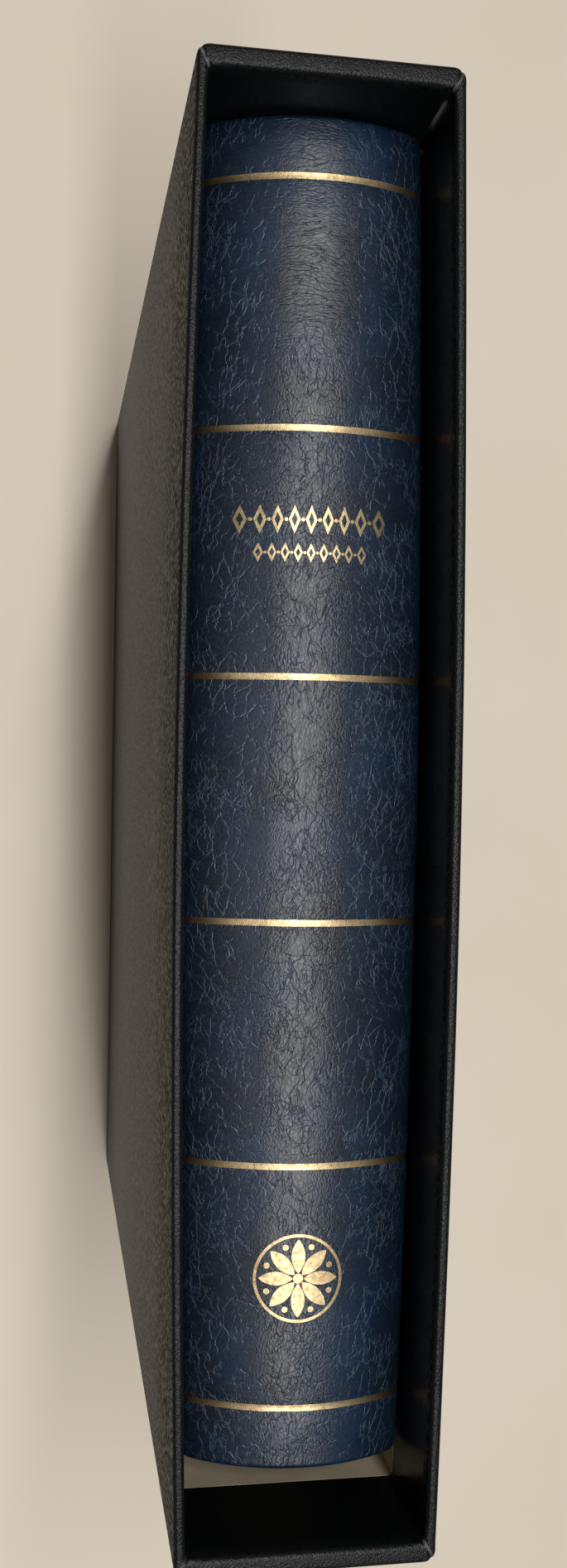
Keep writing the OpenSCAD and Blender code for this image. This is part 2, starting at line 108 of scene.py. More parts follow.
class Finish:
    # a material that is put together from expressions
    def __init__(self, name):
        self.material = bpy.data.materials.new(name)
        self.material.use_nodes = True
        self.tree = self.material.node_tree
        self.tree.nodes.clear()
        self.place = self.scaled(self.make("ShaderNodeTexCoord", {}, {}, "Object"), 1 / mm)

    def make(self, kind, settings, values, output=0):
        node = self.tree.nodes.new(kind)
        for key, value in settings.items():
            setattr(node, key, value)
        for key, value in values.items():
            if isinstance(value, Wire):
                self.tree.links.new(value.socket, node.inputs[key])
            else:
                node.inputs[key].default_value = value
        return Wire(self, node.outputs[output])

    def scaled(self, vector, factor):
        factors = factor if isinstance(factor, tuple) else (factor, factor, factor)
        return self.make("ShaderNodeVectorMath", {"operation": "MULTIPLY"},
                         {0: vector, 1: factors})

    def moved(self, vector, other):
        return self.make("ShaderNodeVectorMath", {"operation": "ADD"}, {0: vector, 1: other})

    def axis(self, index):
        return self.make("ShaderNodeSeparateXYZ", {}, {0: self.place}, index)

    def noise(self, vector, size, detail=2.0, rough=0.5, output=0):
        # size is the distance between blotches, in the vector's own unit
        return self.make("ShaderNodeTexNoise", {},
                         {"Vector": vector, "Scale": 1 / size, "Detail": detail,
                          "Roughness": rough}, output)

    def wobbled(self, vector, size, reach):
        drift = self.noise(vector, size, 2.0, 0.5, 1)
        centred = self.moved(drift, (-0.5, -0.5, -0.5))
        return self.moved(vector, self.scaled(centred, 2 * reach))

    def edges(self, vector, size, kind="2D"):
        # distance to the nearest border between cells, in cells
        return self.make("ShaderNodeTexVoronoi",
                         {"feature": "DISTANCE_TO_EDGE", "voronoi_dimensions": kind},
                         {"Vector": vector, "Scale": 1 / size})

    def contour(self, vector, size, half):
        # thin lines where a noise crosses its middle value
        level = self.noise(vector, size, 2.0, 0.5) - 0.5
        return self.ramp(level.math("ABSOLUTE", level), 0.0, half, 1.0, 0.0)

    def cells(self, vector, size):
        return self.make("ShaderNodeTexVoronoi", {"feature": "SMOOTH_F1"},
                         {"Vector": vector, "Scale": 1 / size, "Smoothness": 0.35})

    def ramp(self, value, low, high, start=0.0, end=1.0):
        return self.make("ShaderNodeMapRange", {"interpolation_type": "SMOOTHSTEP"},
                         {"Value": value, "From Min": low, "From Max": high,
                          "To Min": start, "To Max": end})

    def mixed(self, mask, first, second):
        return self.make("ShaderNodeMix", {"data_type": "RGBA"}, {0: mask, 6: first, 7: second}, 2)

    def finished(self, colour, rough, height=None, fixed=None):
        # height is in mm; fixed holds what is the same all over the surface
        values = {"Base Color": colour, "Roughness": rough}
        if height is not None:
            values["Normal"] = self.make("ShaderNodeBump", {},
                                         {"Strength": 1.0, "Distance": mm, "Height": height})
        values.update(fixed or {})
        shader = self.make("ShaderNodeBsdfPrincipled", {}, values)
        output = self.tree.nodes.new("ShaderNodeOutputMaterial")
        self.tree.links.new(shader.socket, output.inputs["Surface"])
        return self.material


def tone(red, green, blue):
    # a colour from its 0 to 255 screen values
    def linear(v):
        v = v / 255
        return v / 12.92 if v <= 0.04045 else ((v + 0.055) / 1.055) ** 2.4
    return (linear(red), linear(green), linear(blue), 1.0)


def smooth(t):
    t = np.clip(t, 0, 1)
    return t * t * (3 - 2 * t)


def between(value, low, high):
    # 0 up to the low value, 1 from the high value on
    return smooth((value - low) / (high - low))


def ripple(a, b, size, seed):
    # soft seeded unevenness between -1 and 1 over two directions
    dice = np.random.default_rng(seed)
    total = np.zeros(np.broadcast(a, b).shape)
    for _ in range(7):
        turn = dice.uniform(0, 2 * math.pi)
        wave = size * dice.uniform(0.7, 2.2)
        start = dice.uniform(0, 2 * math.pi)
        total += np.sin((a * math.cos(turn) + b * math.sin(turn)) * 2 * math.pi / wave + start)
    return total / 7


def addPiece(name, points, faces, finish, body, instead=(), slot=None, sharp=35, flat=None):
    # points are in mm in the frame of the CAD; flat says where each lies on the uncut sheet
    mesh = bpy.data.meshes.new(name)
    mesh.from_pydata([tuple(p) for p in np.asarray(points, float) * mm], [],
                     [tuple(int(i) for i in f) for f in faces])
    shaped = bmesh.new()
    shaped.from_mesh(mesh)
    bmesh.ops.recalc_face_normals(shaped, faces=shaped.faces)
    shaped.to_mesh(mesh)
    shaped.free()
    mesh.shade_smooth()
    mesh.set_sharp_from_angle(angle=math.radians(sharp))
    mesh.materials.append(finish)
    if flat is not None:
        places = mesh.attributes.new("flat", "FLOAT_VECTOR", "POINT")
        places.data.foreach_set("vector", np.asarray(flat, np.float32).ravel())
    piece = bpy.data.objects.new(name, mesh)
    bpy.context.scene.collection.objects.link(piece)
    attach(piece, body)
    if instead:
        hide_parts(*instead)
    return piece


def slab(front, back):
    # closed solid between two grids of points; returns its points and faces
    rows, columns = front.shape[:2]
    count = rows * columns
    index = np.arange(count).reshape(rows, columns)
    a, b = index[:-1, :-1].ravel(), index[:-1, 1:].ravel()
    c, d = index[1:, 1:].ravel(), index[1:, :-1].ravel()
    faces = [np.stack([a, b, c, d], 1), np.stack([d, c, b, a], 1) + count]
    rim = np.concatenate([index[0, :-1], index[:-1, -1], index[-1, :0:-1], index[:0:-1, 0]])
    after = np.roll(rim, -1)
    faces.append(np.stack([after, rim, rim + count, after + count], 1))
    points = np.concatenate([front.reshape(-1, 3), back.reshape(-1, 3)])
    return points, np.concatenate(faces)


def joined(parts):
    # several sets of points and faces as one
    points, faces, count = [], [], 0
    for somePoints, someFaces in parts:
        points.append(np.asarray(somePoints, float))
        faces += [tuple(int(i) + count for i in f) for f in someFaces]
        count += len(somePoints)
    return np.concatenate(points), faces


def steps(start, end, size):
    # evenly spaced places from start to end, about size apart, ends included
    return np.linspace(start, end, max(2, int(round(abs(end - start) / size)) + 1))


def merged(*runs):
    # sorted places without near doubles
    every = np.sort(np.concatenate([np.atleast_1d(r) for r in runs]))
    keep = np.concatenate([[True], np.diff(every) > 0.02])
    return every[keep]


# the album's cover
caseHigh = np.array(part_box("case_edge_covering")[1]) / mm
albumLow, albumHigh = [np.array(v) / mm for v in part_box("cover_leatherette")]

cover = {
    "halfThickness": (albumHigh[0] - albumLow[0]) / 2,
    "halfHeight": (albumHigh[1] - albumLow[1]) / 2,
    "middle": (albumHigh[1] + albumLow[1]) / 2,
    "crown": albumHigh[2],
    "width": albumHigh[2] - albumLow[2],
    "thickness": 5.1,          # mm, board, padding and leatherette
    "crownRadius": 45.0,
    "shoulderRadius": 7.0,
    "jointStart": 20.0,        # depth of the joint groove below the crown
    "jointEnd": 27.0,
    "jointDepth": 3.9,
    "jointSlope": 2.6,         # depth over which the groove's walls run
    "outerRound": 1.3,
    "innerRound": 1.2,
    "cornerRound": 3.0,
    "turnIn": 15.0,
    "windowSink": 0.62,        # the linings lie in a window between the turned-in edges
    "endFall": 0.3,            # the padding thins towards the edges
    "endFallReach": 9.0,
    "lean": (1.6, 1.0),        # the spine has worked up on the right and down on the left
    "leanDepths": (8.0, 24.0),     # the lean is whole above the first and gone below the second
    "swell": 2.4,              # and it swells out to the bowed walls
    "swellEnds": 0.35,         # of which this much is left at head and foot
    "swellPower": 1.5,
    "swellFrom": (10.0, 24.0),     # sideways, where the swelling sets in and is whole
    "swellDepths": (14.0, 19.5),
    "unevenness": 0.16,
    "bandDent": 0.22,          # the foil is pressed into the padding
    "bandDentReach": 2.6,
    "bandDentDepth": 20.8,
    "sheetGap": 400.0,         # on the uncut sheet, from the outer face's grain to the inner face's
}

gilding = {
    "bands": 6,
    "bandWidth": 1.5,
    "bandMargin": 14.5,
    "bandRise": 0.4,
    "bandReach": 51.6,
    "foil": 0.09,
    "proud": 0.05,             # the foil lies this far above the leatherette
    "titlePlace": 1.066,       # rows above the bands' middle, in band pitches
    "rosettePlace": -1.96,
    "lozenges": 9,
    "lozengeShare": 0.7,
    "rowGap": 7.6,
    "rows": ((3.9, 6.6), (3.0, 4.4)),   # pitch and height of the two rows
    "rosetteRadius": 10.5,
    "rosetteRim": 0.7,
    "petals": 8,
    "petalRadius": 0.55,       # shares of the rosette's radius
    "dotReach": 0.76,
}
gilding["pitch"] = 2 * (cover["halfHeight"] - gilding["bandMargin"]) / (gilding["bands"] - 1)
bandPlaces = [gilding["bandRise"] + (k - (gilding["bands"] - 1) / 2) * gilding["pitch"]
              for k in range(gilding["bands"])]


def arcPoints(x, depth, radius, start, end, count):
    angles = np.radians(np.linspace(start, end, count))
    return np.stack([x + radius * np.cos(angles), depth - radius * np.sin(angles)], 1)


def spinePath(inset):
    # half of the spine's section from the crown's middle to its straight side
    half, crown, shoulder = cover["halfThickness"], cover["crownRadius"], cover["shoulderRadius"]
    x = half - shoulder
    depth = crown - math.sqrt((crown - shoulder) ** 2 - x ** 2)
    meet = math.degrees(math.atan2(crown - depth, x))
    top = arcPoints(0, crown, crown - inset, 90, meet, 26)
    side = arcPoints(x, depth, shoulder - inset, meet, 0, 16)
    return np.concatenate([top, side[1:]])


def coverPaths():
    # outer and inner lines of half a cover section, from crown to fore edge, as x and depth
    half, thick = cover["halfThickness"], cover["thickness"]
    start, end, slope = cover["jointStart"], cover["jointEnd"], cover["jointSlope"]
    shoulderEnd = spinePath(0)[-1, 1]
    grooves = steps(start - slope / 2, end + slope / 2, 0.35)
    window = cover["width"] - cover["turnIn"]
    far = cover["width"] - 4
    foreEdge = far + 4 * np.sin(np.linspace(0.2, 1, 12) * math.pi / 2)
    depths = merged(steps(shoulderEnd + 0.6, start - slope / 2, 0.8), grooves,
                    steps(end + slope / 2, 48, 1.4), steps(48, far, 4.0),
                    [window - 0.15, window + 0.15], foreEdge)
    groove = smooth((depths - start) / slope + 0.5) - smooth((depths - end) / slope + 0.5)
    outerSide = np.stack([half - cover["jointDepth"] * groove, depths], 1)
    innerSide = np.stack([np.full(len(depths), half - thick), depths], 1)
    outer = np.concatenate([spinePath(0), outerSide])
    inner = np.concatenate([spinePath(thick), innerSide])
    return outer, inner


def pathNormals(path):
    # unit normals that point to the right of the way from crown to fore edge
    way = np.gradient(path, axis=0)
    normals = np.stack([-way[:, 1], way[:, 0]], 1)
    normals /= np.linalg.norm(normals, axis=1)[:, None]
    return -normals


def roundInset(distance, radius):
    # how far a rounded edge draws back at a distance from the end
    left = np.clip(radius - distance, 0, radius)
    return radius - np.sqrt(np.clip(radius ** 2 - left ** 2, 0, None))


def dents(along):
    # how far the gold bands press into the padding
    total = np.zeros_like(along)
    for place in bandPlaces:
        reach = cover["bandDentReach"]
        total = np.maximum(total, np.exp(-((along - place) / reach) ** 2 * 2))
    return total * cover["bandDent"]


def settled(points):
    # the spine's own shape: worked up on one side, and swollen between head and foot
    points = points.copy()
    x, depth = points[..., 0], cover["crown"] - points[..., 2]
    along = (points[..., 1] - cover["middle"]) / cover["halfHeight"]
    up = x / cover["halfThickness"] * np.where(x > 0, *cover["lean"])
    up = up * (1 - between(depth, *cover["leanDepths"]))
    out = cover["swell"] * np.clip(1 - np.abs(along) ** cover["swellPower"], 0, 1) + cover["swellEnds"]
    out = out * between(np.abs(x), *cover["swellFrom"]) * (1 - between(depth, *cover["swellDepths"]))
    points[..., 0] += np.sign(x) * out
    points[..., 2] += up
    return points


def coverGrids():
    # the cover's outer and inner surfaces, [along the spine][round the section]
    outer, inner = coverPaths()
    outerNormal, innerNormal = pathNormals(outer), pathNormals(inner)
    mirror = np.array([-1, 1])
    outer = np.concatenate([outer[::-1], outer[1:] * mirror])
    inner = np.concatenate([inner[::-1], inner[1:] * mirror])
    outerNormal = np.concatenate([outerNormal[::-1], outerNormal[1:] * mirror])
    innerNormal = np.concatenate([innerNormal[::-1], innerNormal[1:] * mirror])
    half = cover["halfHeight"]
    window = half - cover["turnIn"]
    ends = half - 4 + 4 * np.sin(np.linspace(0, 1, 13) * math.pi / 2)
    ys = merged(steps(-half + 4, half - 4, 1.6), -ends, ends, bandPlaces,
                [-window - 0.15, -window + 0.15, window - 0.15, window + 0.15])
    along, edge = ys[:, None], (cover["width"] - outer[:, 1])[None, :]
    # plan corners of the two boards are rounded
    corner = cover["cornerRound"]
    shorter = roundInset(edge, corner) * (edge < corner)
    reach = half - shorter
    y = along / half * reach
    endDistance = reach - np.abs(y)
    thickness = np.linalg.norm(outer - inner, axis=1)[None, :]
    outerRound = np.minimum(cover["outerRound"], 0.45 * thickness)
    innerRound = np.minimum(cover["innerRound"], 0.45 * thickness)

    def rounded(radius):
        sideways = np.clip(radius - edge, 0, None)
        endways = np.clip(radius - endDistance, 0, None)
        both = np.clip(np.hypot(sideways, endways), 0, radius)
        return radius - np.sqrt(np.clip(radius ** 2 - both ** 2, 0, None))

    nearest = np.minimum(endDistance, edge + 0 * endDistance)
    fall = cover["endFall"] * (1 - smooth(nearest / cover["endFallReach"]))
    padded = smooth((thickness - 2) / 2.5)
    path = np.concatenate([[0], np.cumsum(np.linalg.norm(np.diff(outer, axis=0), axis=1))])
    uneven = ripple(path[None, :] + 0 * y, y, 34, 5) * cover["unevenness"]
    uneven = uneven * smooth(nearest / 6)
    dented = dents(y) * (outer[:, 1] < cover["bandDentDepth"])
    outerInset = rounded(outerRound) + (fall + dented + uneven) * padded
    inWindow = (np.abs(y) < window) & (edge > cover["turnIn"])
    innerInset = rounded(innerRound) + cover["windowSink"] * inWindow

    def placed(path2, normal, inset):
        x = path2[None, :, 0] - normal[None, :, 0] * inset
        depth = path2[None, :, 1] - normal[None, :, 1] * inset
        return np.stack([x, y + cover["middle"] + 0 * x, cover["crown"] - depth], 2)

    front = settled(placed(outer, outerNormal, outerInset))
    back = placed(inner, -innerNormal, innerInset)
    sheet = np.stack([path[None, :] - path[-1] / 2 + 0 * y, y + 0 * path[None, :], 0 * path + 0 * y], 2)
    sheet = sheet.reshape(-1, 3)
    return front, back, np.concatenate([sheet, sheet + [0, cover["sheetGap"], 0]])


coverFront, coverBack, coverSheet = coverGrids()
spineMiddle = coverFront.shape[1] // 2
spineReach = 40                # columns from the crown's middle to the end of a shoulder


def onSpine(x, y, height):
    # points at a height over the dressed spine, above flat places x and y
    rows = coverFront[:, spineMiddle, 1]
    grid = coverFront[:, spineMiddle - spineReach:spineMiddle + spineReach + 1][:, ::-1]
    side = spinePath(0)[:, 0]
    flatX = np.concatenate([-side[::-1], side[1:]])
    down = np.gradient(grid, axis=0)
    along = np.gradient(grid, axis=1)
    normals = np.cross(along, down)
    normals /= np.linalg.norm(normals, axis=2)[..., None]
    surface = grid + normals * height
    x, y = np.atleast_1d(x), np.atleast_1d(y)
    row = np.clip(np.searchsorted(rows, y) - 1, 0, len(rows) - 2)
    column = np.clip(np.searchsorted(flatX, x) - 1, 0, len(flatX) - 2)
    s = ((y - rows[row]) / (rows[row + 1] - rows[row]))[:, None]
    t = ((x - flatX[column]) / (flatX[column + 1] - flatX[column]))[:, None]
    low = surface[row, column] * (1 - t) + surface[row, column + 1] * t
    high = surface[row + 1, column] * (1 - t) + surface[row + 1, column + 1] * t
    return low * (1 - s) + high * s


# the finishes
leatherLook = {
    "navy": tone(3, 29, 54),
    "deep": tone(1, 17, 34),
    # lighter crease colour: partly whitened wear, partly painted sheen on crease flanks
    "wornAndSheen": tone(34, 56, 78),
    "wornAndSheenShare": 0.55,
    "joint": tone(1, 8, 18),   # painted shade: darker towards the joints, where the spine curves away from the light into the gap
    "jointShadeReach": (11.0, 25.0),    # sideways, where it sets in and is whole
    "jointShadeShare": 0.85,
    "board": tone(22, 50, 84),
    "boardReach": (38.0, 60.0),
    "sheen": tone(250, 249, 246),
    "specular": 0.49,
    "rough": 0.375,
    "crownReach": (6.0, 12.0),     # sideways, where the crown's own grain ends
    "fineCell": 0.78,
    "fineDepth": 0.023,
    "sideShare": 0.2,          # of the fine grain's depth, at the sides
    "creaseDepth": 0.066,
    "creaseFall": (16.0, 27.0),    # sideways, where the creases get weaker
    "creaseLeft": 0.5,
    # size across, stretch along the spine, slant, half width, share of the surface that has them
    "webs": ((2.3, 3.0, 0.12, 0.16, 0.66), (3.6, 2.2, -0.55, 0.15, 0.55)),
    "creases": ((3.6, 4.0, 0.1, 0.013, 0.62), (6.0, 3.0, 0.6, 0.009, 0.55),
                (2.6, 3.0, -0.3, 0.016, 0.5), (7.0, 0.42, 0.12, 0.009, 0.5)),
    "wrinkle": (3.0, 0.26, 0.02),
    "headZone": (88, 122),     # towards the head the grain runs across the spine
}


def coverLeather():
    look = leatherLook
    f = Finish("cover_leatherette")
    flat = f.make("ShaderNodeAttribute", {"attribute_name": "flat"}, {}, "Vector")
    gentle = f.wobbled(flat, 7.0, 1.6)
    wavy = f.wobbled(f.wobbled(gentle, 2.4, 0.8), 0.9, 0.14)
    across = f.make("ShaderNodeSeparateXYZ", {}, {0: wavy}, 0)
    along = f.make("ShaderNodeSeparateXYZ", {}, {0: wavy}, 1)
    headward = f.ramp(along + f.noise(flat, 18.0) * 50 - 25, *look["headZone"])
    fromMiddle = across.math("ABSOLUTE", across)
    middle = f.ramp(fromMiddle, *look["crownReach"], 1.0, 0.0)
    folds = 0

    def slanted(stretch, slant):
        return f.make("ShaderNodeCombineXYZ", {}, {0: across + along * slant, 1: along / stretch})

    def patches(size, share, offset):
        spots = f.noise(f.moved(flat, (offset, -offset * 2, 0)), size, 2.0)
        return f.ramp(spots, 0.64 - share * 0.3, 0.72 - share * 0.3)

    for size, stretch, slant, half, share in look["webs"]:
        net = f.edges(slanted(stretch, slant), size) * size
        folds = f.ramp(net, 0.0, half, 1.0, 0.0) * patches(size * 4, share, size * 31) + folds
    for size, stretch, slant, half, share in look["creases"]:
        crease = f.contour(slanted(stretch, slant), size, half)
        folds = crease * patches(size * 4, share, size * 53) + folds
    size, stretch, half = look["wrinkle"]
    grain = look["fineDepth"] * (middle * (1 - look["sideShare"]) + look["sideShare"])
    wrinkles = f.contour(f.scaled(gentle, (stretch, 1.6, 1.0)), size, half) * headward * middle
    folds = folds * (1 - headward * middle * 0.75)
    lengthways = f.scaled(wavy, (1.0, 0.5, 1.0))
    crossways = f.scaled(wavy, (0.3, 1.0, 1.0))
    fine = f.edges(lengthways, look["fineCell"])
    fineCross = f.edges(crossways, look["fineCell"])
    pillow = f.ramp(fine * (1 - headward) + fineCross * headward, 0.0, 0.3)
    cloud = f.noise(flat, 22.0, 3.0)
    colour = f.mixed(f.ramp(cloud, 0.3, 0.7), look["deep"], look["navy"])
    # painted shade: the leatherette is made darker towards the joints, standing in for the shade there
    shadeToJoint = f.ramp(fromMiddle, *look["jointShadeReach"], 0.0, look["jointShadeShare"])
    colour = f.mixed(shadeToJoint, colour, look["joint"])
    onBoard = f.ramp(fromMiddle, *look["boardReach"])
    colour = f.mixed(onBoard, colour, f.mixed(cloud, look["navy"], look["board"]))
    weaker = f.ramp(fromMiddle, *look["creaseFall"], 1.0, look["creaseLeft"])
    folds = f.ramp(folds + wrinkles, 0.0, 1.3) * weaker
    # lighter crease lines away from the crown's middle: partly whitened wear, partly painted sheen of
    # crease flanks on the darker sides
    colour = f.mixed(folds * (1 - middle) * look["wornAndSheenShare"], colour, look["wornAndSheen"])
    rough = look["rough"] + f.noise(flat, 3.0) * 0.1 - pillow * 0.06
    height = (pillow + f.noise(flat, 0.5, 2.0) * 0.5) * grain - folds * look["creaseDepth"]
    return f.finished(colour, rough, height,
                      {"Specular IOR Level": look["specular"], "Specular Tint": look["sheen"]})


case = {
    "halfWidth": caseHigh[0],
    "halfHeight": caseHigh[1],
    "depth": caseHigh[2],
    "sideWall": 2.6,
    "endWall": 4.8,
    "wrap": 0.28,
    "cornerRound": 3.0,
    "innerCorner": 0.9,
    "cornerPoints": 12,
    "bridgePoints": 3,         # between a wall's straight part and its outer corner
    "rimRound": 0.95,
    "endRimRound": 1.25,
    "footRound": 0.9,
    "footTurn": 80,            # degrees that the covering turns at the foot, up to the base
    "baseRise": 0.01,
    "turnedIn": 30.0,
    "bow": 2.5,
    "bowPower": 1.5,
    "seamDip": 0.18,
    "seamReach": 0.7,
    "unevenness": 0.06,
}
case["innerWidth"] = case["halfWidth"] - case["sideWall"]
case["innerHeight"] = case["halfHeight"] - case["endWall"]

caseLook = {
    "black": tone(11, 13, 14),
    "bluish": tone(16, 19, 21),
    "specular": 0.15,
    "rough": 0.31,
    "pebble": 0.36,
    "depth": 0.075,
    "tableReflection": tone(48, 41, 32),     # painted reflection of the warm table, laid as patches in the walls' grain
    "tableReflectionShare": 0.55,
    "dustRough": 0.24,
    "rimDustRough": 0.4,       # what the dust adds near the rim
    "wallRough": -0.04,        # what the walls are rougher than the rim, without dust
    "pitRough": 0.2,           # what the grain's pits add to that
    "wallFrom": 0.45,          # share of both at the closed back
    "wallShare": 1.2,          # of the pebbles' depth, on the walls below the rim
    "rubbed": tone(116, 118, 114),     # where the turned-in corners have worn
    "rubbedCorner": (180, 186),    # x and y together, at the one corner whose fold has worn
    "insideRough": 0.24,       # the turned-in part is pressed smooth against the wall
    "insideDepth": 0.008,
}


def caseLeather():
    look = caseLook
    f = Finish("case_leatherette")
    wavy = f.wobbled(f.place, 1.6, 0.25)
    pebble = f.cells(wavy, look["pebble"])
    colour = f.mixed(f.noise(f.place, 11.0, 3.0), look["black"], look["bluish"])
    grit = f.noise(f.place, 0.35, 1.0)
    flat = f.make("ShaderNodeAttribute", {"attribute_name": "flat"}, {}, "Vector")
    inside = f.make("ShaderNodeSeparateXYZ", {}, {0: flat}, 2)
    rough = look["rough"] * (1 - inside) + inside * look["insideRough"]
    x, y, z = [f.axis(k).math("ABSOLUTE", f.axis(k)) for k in range(3)]
    depth = case["depth"]
    fromSide, fromEnd = case["halfWidth"] - x, case["halfHeight"] - y
    mitre = (fromSide * case["endWall"] - fromEnd * case["sideWall"]) / case["endWall"]
    mitre = f.ramp(mitre.math("ABSOLUTE", mitre), 0.2, 0.5, 0.7, 0.0) * f.ramp(z, depth - 2, depth - 1)
    walls = case["sideWall"] + case["endWall"]
    fold = f.ramp(fromSide + fromEnd, walls + 0.5, walls + 0.95, 1.0, 0.0)
    fold = fold * inside * f.ramp(z, depth - 20, depth - 14) * f.ramp(z, depth - 8, depth - 5, 1.0, 0.0)
    fold = fold * f.ramp(f.axis(0) + f.axis(1), *look["rubbedCorner"])
    scuff = f.ramp(f.noise(f.place, 1.8, 3.0), 0.35, 0.6, 0.15, 0.8)
    belowRim = f.ramp(z, depth - 0.9, depth - 0.3, 1.0, 0.0) * (1 - inside)
    dustAndReflection = f.ramp(f.noise(f.place, 1.2, 3.0), 0.36, 0.64)
    outside = f.ramp(inside, 0.0, 0.08, 1.0, 0.0) * f.ramp(z, depth - 2.2, depth - 1.4, 1.0, 0.0)
    # painted reflection of the table on the outer walls below the rim, in patches
    colour = f.mixed(outside * dustAndReflection * look["tableReflectionShare"], colour, look["tableReflection"])
    colour = f.mixed(mitre * scuff + fold * 0.8, colour, look["rubbed"])
    worked = f.ramp(z, depth - 120, depth - 4, look["wallShare"], 1.0)
    relief = (inside * (look["insideDepth"] / look["depth"] - 1) + 1) * look["depth"] * worked
    height = (1 - pebble) * relief + grit * relief * 0.4
    onWall = belowRim * f.ramp(z, 40, depth - 10, look["wallFrom"], 1.0)
    pits = f.ramp(pebble, 0.2, 0.6) * look["pitRough"]
    rough = rough + onWall * (pits + look["wallRough"] + dustAndReflection * look["dustRough"])
    nearRim = belowRim * f.ramp(z, depth - 60, depth - 4)
    rough = rough + nearRim * (dustAndReflection * look["rimDustRough"] - 0.04) + f.noise(f.place, 4.0) * 0.06
    return f.finished(colour, rough, height, {"Specular IOR Level": look["specular"]})


foilLook = {
    "gold": tone(184, 164, 128),
    "dull": tone(150, 129, 94),
    # darker colour for the bands' ends: partly foil wear, partly painted shade
    "side": tone(88, 72, 50),
    "sideReach": (13.0, 25.0),
    "sideShare": 0.85,
    "rough": 0.34,
    "wearRough": 0.14,
    "grainDepth": 0.042,
}


def goldFoil():
    look = foilLook
    f = Finish("gold_foil")
    wear = f.noise(f.place, 1.1, 3.0)
    grain = f.noise(f.place, 0.25, 2.0)
    colour = f.mixed(f.ramp(wear, 0.35, 0.75), look["gold"], look["dull"])
    # darker towards the ends of each band: partly foil wear, partly painted shade where the spine
    # curves away from the light
    side = f.axis(0).math("ABSOLUTE", f.axis(0))
    side = f.ramp(side, *look["sideReach"], 0.0, look["sideShare"])
    colour = f.mixed(side, colour, look["side"])
    rough = look["rough"] + wear * look["wearRough"]
    return f.finished(colour, rough, grain * look["grainDepth"], {"Metallic": 1.0})


def paper(name, light, dark, fibre=0.02):
    f = Finish(name)
    cloud = f.noise(f.place, 18.0, 4.0)
    speck = f.noise(f.place, 0.8, 3.0)
    colour = f.mixed(f.ramp(cloud, 0.3, 0.7) * 0.7 + speck * 0.3, light, dark)
    return f.finished(colour, 0.8 + speck * 0.15, speck * fibre, {"Specular IOR Level": 0.3})


def leafCard(name, light, dark, line, pitch=0.26):
    # sheets show as fine lines on the edges of each leaf; the darker lines are painted shade in the
    # gaps between sheets
    f = Finish(name)
    x = f.axis(0)
    lines = f.ramp(x.math("PINGPONG", x, pitch / 2), 0.0, pitch * 0.18, 1.0, 0.0)
    cloud = f.noise(f.place, 24.0, 3.0)
    speck = f.noise(f.place, 0.9, 3.0)
    face = f.make("ShaderNodeSeparateXYZ", {}, {0: f.make("ShaderNodeTexCoord", {}, {}, "Normal")})
    onFace = f.ramp(face.math("ABSOLUTE", face), 0.5, 0.9)
    lines = lines * (1 - onFace) * f.ramp(speck, 0.3, 0.6, 0.5, 1.0)
    colour = f.mixed(f.ramp(cloud, 0.3, 0.7), light, dark)
    colour = f.mixed(lines * 0.55, colour, line)
    return f.finished(colour, 0.75 + speck * 0.15, speck * 0.02 - lines * 0.05,
                      {"Specular IOR Level": 0.3})


def plated(name, colour, shade, rough):
    f = Finish(name)
    wear = f.noise(f.place, 6.0, 4.0)
    brush = f.noise(f.scaled(f.place, (3.0, 0.15, 3.0)), 0.5, 2.0)
    mix = f.mixed(f.ramp(wear, 0.4, 0.75), colour, shade)
    return f.finished(mix, rough + wear * 0.1 + brush * 0.06, brush * 0.006, {"Metallic": 1.0})


def board():
    f = Finish("grey_board")
    speck = f.noise(f.place, 0.7, 4.0)
    layers = f.noise(f.scaled(f.place, (3.0, 0.1, 0.1)), 1.0, 2.0)
    colour = f.mixed(speck * 0.6 + layers * 0.4, tone(128, 118, 102), tone(176, 164, 144))
    return f.finished(colour, 0.88 + speck * 0.08, speck * 0.05)


def foam():
    f = Finish("padding_foam")
    pores = f.edges(f.place, 0.6, "3D")
    colour = f.mixed(f.ramp(pores, 0.0, 0.3), tone(196, 186, 152), tone(232, 226, 200))
    return f.finished(colour, 0.92 + f.noise(f.place, 2.0) * 0.05, f.ramp(pores, 0.0, 0.3) * 0.12)


def plastic():
    f = Finish("tab_plastic")
    grain = f.noise(f.place, 0.4, 3.0)
    colour = f.mixed(grain, tone(24, 24, 26), tone(38, 38, 41))
    return f.finished(colour, 0.42 + grain * 0.12, grain * 0.015)


finishes = {
    "cover_leatherette": coverLeather(),
    "case_leatherette": caseLeather(),
    "gold_foil": goldFoil(),
    "grey_board": board(),
    "padding_foam": foam(),
    "lining_paper": paper("lining_paper", tone(212, 200, 174), tone(190, 177, 148)),
    "endpaper": paper("endpaper", tone(222, 214, 196), tone(208, 198, 178)),
    "guard_card": paper("guard_card", tone(38, 38, 40), tone(28, 28, 30)),
    "leaf_paper": leafCard("leaf_paper", tone(238, 231, 212), tone(228, 219, 197),
                           tone(150, 138, 112)),
    "nickelled_steel": plated("nickelled_steel", tone(206, 204, 198), tone(172, 168, 160), 0.2),
    "spring_steel": plated("spring_steel", tone(150, 152, 158), tone(118, 118, 124), 0.32),
    "tab_plastic": plastic(),
}
for part in frame["record"]["subparts"]:
    slots = nodes[part["node"]].material_slots
    for each in slots:
        each.material = finishes[part["material_slot"]]
print("finishes made")

addPiece("album_cover", *slab(coverFront, coverBack), finishes["cover_leatherette"], "album",
         ("cover_leatherette",), "cover_leatherette", flat=coverSheet)
print("cover made")

